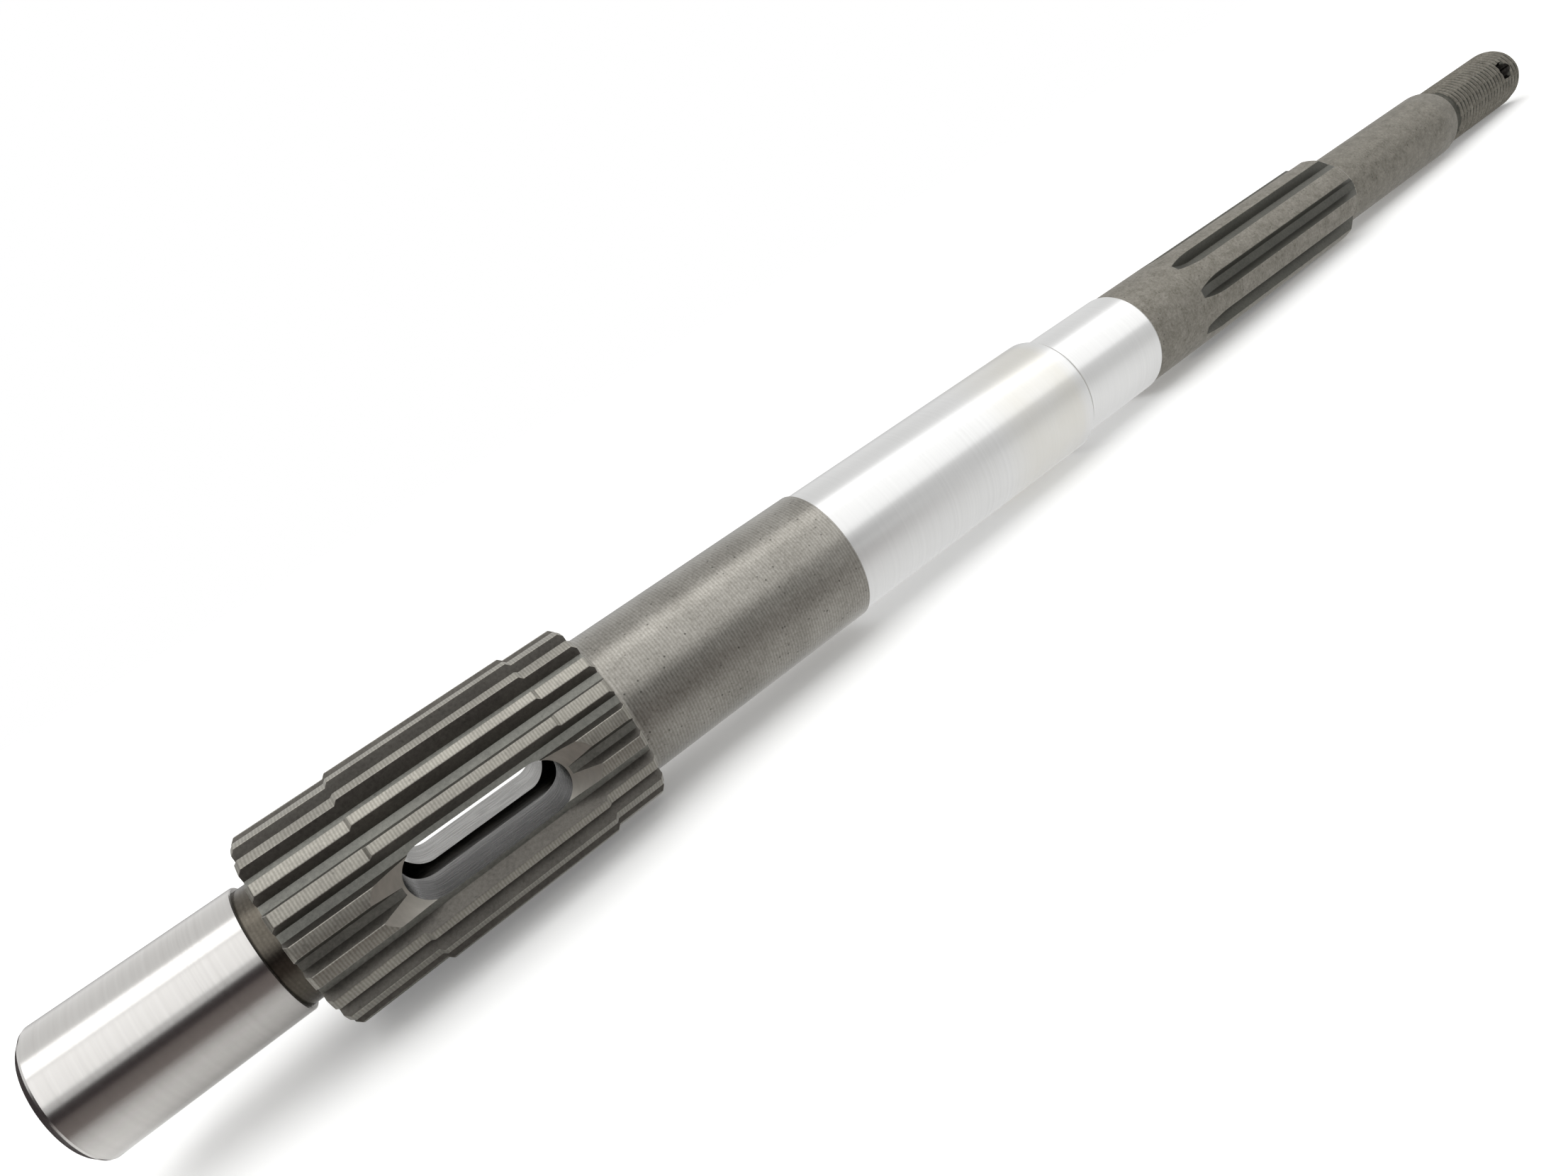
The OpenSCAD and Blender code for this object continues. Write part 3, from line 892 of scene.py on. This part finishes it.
# Matt white paper: it takes the soft shadow and has no shine of its own.
matt = add(tree, "ShaderNodeBsdfPrincipled", {
    "Base Color": linear("#f4f4f3"), "Roughness": 1.0, "Specular IOR Level": 0.0,
    "Emission Color": (1, 1, 1, 1), "Emission Strength": glow.outputs[0]})
axes = add(tree, "ShaderNodeSeparateXYZ", {"Vector": place}).outputs
brightness = add(tree, "ShaderNodeMapRange", {
    "Value": axes["Y"], "From Min": EVEN_AT[0] * MM, "From Max": EVEN_AT[1] * MM,
    "To Min": EVEN[0], "To Max": EVEN[1]}).outputs["Result"]
even = add(tree, "ShaderNodeEmission", {"Color": (1, 1, 1, 1), "Strength": brightness})
share = add(tree, "ShaderNodeMapRange", {
    "Value": axes["X"], "From Min": EVEN_X[0] * MM, "From Max": EVEN_X[1] * MM,
    "To Max": EVEN_SHARE}).outputs["Result"]
part = add(tree, "ShaderNodeMath", {0: mirrored, 1: share}, operation="MULTIPLY")
both = add(tree, "ShaderNodeMixShader", {
    0: part.outputs[0], 1: matt.outputs["BSDF"], 2: even.outputs["Emission"]})
add(tree, "ShaderNodeOutputMaterial", {"Surface": both.outputs["Shader"]})
sheet("floor", lying((-SIDE, SIDE), (-SIDE, SIDE), 0), paper)
print("floor leans", round(math.degrees(math.atan(lean)), 2), "degrees")

# %% [markdown]
# The room and its lamps
#
# Bright metal shows its room. A picture of a studio could be wrapped round the scene, but a plain
# room of a few greys is easier to steer. The walls are pale, a little darker overhead and on the
# camera's side, and plain white to the camera itself. A broad soft key hangs nearly overhead and lays
# the soft shadow; mirrors don't see it. Two long strips give the white bands on the journals, and
# matt surfaces don't see those. A lamp adds to the pale wall behind it, so the strips can be weak.

# %% Build the room
# Brightness at the level of the shaft and overhead, and the share of it on the camera's side.
WALLS, FRONT_SHARE = (0.98, 0.76), 0.64
# The Y part of a direction where that share holds, and where it has gone.
FRONT_WAY = (-1.0, -0.2)
world = bpy.data.worlds.new("studio")
bpy.context.scene.world = world
world.use_nodes = True
tree = world.node_tree
tree.nodes.clear()
around_us = add(tree, "ShaderNodeTexCoord").outputs["Generated"]
way = add(tree, "ShaderNodeSeparateXYZ", {"Vector": around_us}).outputs
rising = add(tree, "ShaderNodeMapRange", {
    "Value": way["Z"], "To Min": WALLS[0], "To Max": WALLS[1]}).outputs["Result"]
front = add(tree, "ShaderNodeMapRange", {
    "Value": way["Y"], "From Min": FRONT_WAY[0], "From Max": FRONT_WAY[1],
    "To Min": FRONT_SHARE}).outputs["Result"]
walls = add(tree, "ShaderNodeMath", {0: rising, 1: front}, operation="MULTIPLY").outputs[0]
level = add(tree, "ShaderNodeMix", {"Factor": seen_directly(tree)[0], "A": walls, "B": 1.0})
sky = add(tree, "ShaderNodeBackground", {"Color": (1, 1, 1, 1), "Strength": level.outputs["Result"]})
add(tree, "ShaderNodeOutputWorld", {"Surface": sky.outputs["Background"]})
print("room:", len(tree.nodes), "nodes")


# %% Hang the lamps
def softbox(name, angle, distance, length, width, radiance, middle):
    """A long soft lamp beside the shaft: angle from the -Y side upwards in degrees, distance from the
    axis, length, width and middle station in mm."""
    rise_angle = math.radians(angle)
    lamp = bpy.data.lights.new(name, "AREA")
    lamp.shape, lamp.size, lamp.size_y = "RECTANGLE", length * MM, width * MM
    lamp.energy = radiance * math.pi * lamp.size * lamp.size_y
    obj = bpy.data.objects.new(name, lamp)
    obj.location = Vector((middle, -math.cos(rise_angle) * distance, math.sin(rise_angle) * distance)) * MM
    obj.rotation_euler = (math.radians(90 - angle), 0, 0)
    bpy.context.scene.collection.objects.link(obj)
    return obj


key = softbox("key_softbox", angle=84, distance=750, length=1300, width=800, radiance=1.15, middle=60)
strip = {"distance": 600, "length": 2200, "middle": 500}
high_strip = softbox("high_strip", angle=81.5, width=265, radiance=1.1, **strip)
low_strip = softbox("low_strip", angle=43.7, width=480, radiance=0.55, **strip)
key.visible_glossy = False
high_strip.visible_diffuse = low_strip.visible_diffuse = False
print("lamps:", [lamp.name for lamp in bpy.data.lights])

# %% [markdown]
# Dark cards
#
# Steel reads as steel when it mirrors something dark. Darker walls could do that, but they would grey
# the paper too. A photographer puts cards round a shiny thing, and so do we, with cards that only
# mirrors see: grey and dark felt in front for the dark band on the front journal, a taller card
# behind for the far edges, and two at the front end for its chamfer. Where a card ends in the middle
# of a journal's mirror picture, a hem thins the felt out, so that the band fades without a hard edge.

# %% Make felt
DARK_FELT, GREY_FELT = ("#3a3334", "#2c2728"), ("#78706d", "#686260")
# Size of the clouds in the nap, in mm.
NAP = 40


def felt(name, tones, **hems):
    """Cloth with a soft nap in two tones, matt and dark in a mirror. A hem X, Y or Z = (solid, clear)
    thins it out to nothing between those two places, in mm."""
    material, tree, place = blank(name)
    nap = add(tree, "ShaderNodeTexNoise", {"Vector": place, "Scale": per_mm(NAP)}).outputs["Fac"]
    tone = add(tree, "ShaderNodeMix", {"Factor": nap, "A": linear(tones[1]), "B": linear(tones[0])},
               data_type="RGBA")
    surface = add(tree, "ShaderNodeBsdfDiffuse", {"Color": tone.outputs["Result"]}).outputs["BSDF"]
    where = add(tree, "ShaderNodeSeparateXYZ", {"Vector": place}).outputs
    for axis, (solid, gone) in hems.items():
        thin = add(tree, "ShaderNodeMapRange", {
            "Value": where[axis], "From Min": solid * MM, "From Max": gone * MM}).outputs["Result"]
        nothing = add(tree, "ShaderNodeBsdfTransparent").outputs["BSDF"]
        surface = add(tree, "ShaderNodeMixShader", {0: thin, 1: surface, 2: nothing}).outputs["Shader"]
    add(tree, "ShaderNodeOutputMaterial", {"Surface": surface})
    return material


# %% Set the cards
# Sizes in mm: how far cards lie off the paper, stand away from the shaft and reach along it.
LIFT, AWAY, FAR = 0.3, 320, 700
# Where the end cards are and how wide, how high cards stand, and where the lying felt thins out.
END_X, END_Y = -170, 300
LOW, HIGH = 75, 140
FADE_X = (15, 105)


def standing(x, y, height):
    """Corners of a card that stands on the floor from (x[0], y[0]) to (x[1], y[1]), in mm."""
    return [(x[0], y[0], LIFT), (x[1], y[1], LIFT), (x[1], y[1], height), (x[0], y[0], height)]


plain_felt = felt("felt", DARK_FELT)
cards = (
    ("lying_card", lying((-FAR, FADE_X[1]), (-AWAY, 0), LIFT),
     felt("grey_felt_two_hems", GREY_FELT, X=FADE_X, Y=(-29, -5))),
    ("dark_lying_card", lying((-FAR, FADE_X[1]), (-AWAY, 0), 2 * LIFT),
     felt("dark_felt_two_hems", DARK_FELT, X=FADE_X, Y=(-170, -30))),
    ("standing_card", standing((-FAR, 220), (-AWAY, -AWAY), LOW),
     felt("felt_one_hem", DARK_FELT, X=(110, 215))),
    ("back_card", standing((-FAR, FAR), (AWAY, AWAY), HIGH),
     felt("felt_top_hem", DARK_FELT, Z=(-100, 120))),
    ("end_card", standing((END_X, END_X), (-END_Y, END_Y), LOW), plain_felt),
    ("end_lying_card", lying((END_X, -50), (2, END_Y), LIFT), plain_felt))
for name, corners, cloth in cards:
    card = sheet(name, corners, cloth)
    card.visible_camera = card.visible_diffuse = False
    card.visible_shadow = card.visible_transmission = False
print(len(cards), "cards")

# %% [markdown]
# The camera
#
# The camera stands close, in front of the slot and a little above the shaft, rolled so that the shaft
# runs from the lower left to the upper right. A long lens from far away would show the bar's true
# proportions. A short lens from close by was chosen because it makes the near end large, as in the
# photograph.

# %% Set the camera
# Width of the photograph and focal length in pixels, and the sensor's width in mm.
PHOTO_WIDTH, FOCAL, SENSOR = 2212, 1378, 36.0
ROLL = math.radians(-29.3)
stand, aim = Vector((-1.8, -118.4, 34.4)) * MM, Vector((48.3, 0, -0.5)) * MM
camera = bpy.data.cameras.new("camera")
camera.sensor_width, camera.lens = SENSOR, SENSOR * FOCAL / PHOTO_WIDTH
camera.clip_start, camera.clip_end = 0.005, 30
eye = bpy.data.objects.new("camera", camera)
eye.location = stand
eye.rotation_mode = "QUATERNION"
rolled = Matrix.Rotation(ROLL, 3, "Z").to_quaternion()
eye.rotation_quaternion = (aim - stand).to_track_quat("-Z", "Y") @ rolled
bpy.context.scene.collection.objects.link(eye)
bpy.context.scene.camera = eye
print("lens", round(camera.lens, 2), "mm, camera", round((aim - stand).length / MM), "mm from its aim")

# %% [markdown]
# Finish
#
# The Standard view shows a colour as it was chosen, and white paper as white; a film-like view would grey
# it.

# %% Finish
bpy.context.scene.view_settings.view_transform = "Standard"
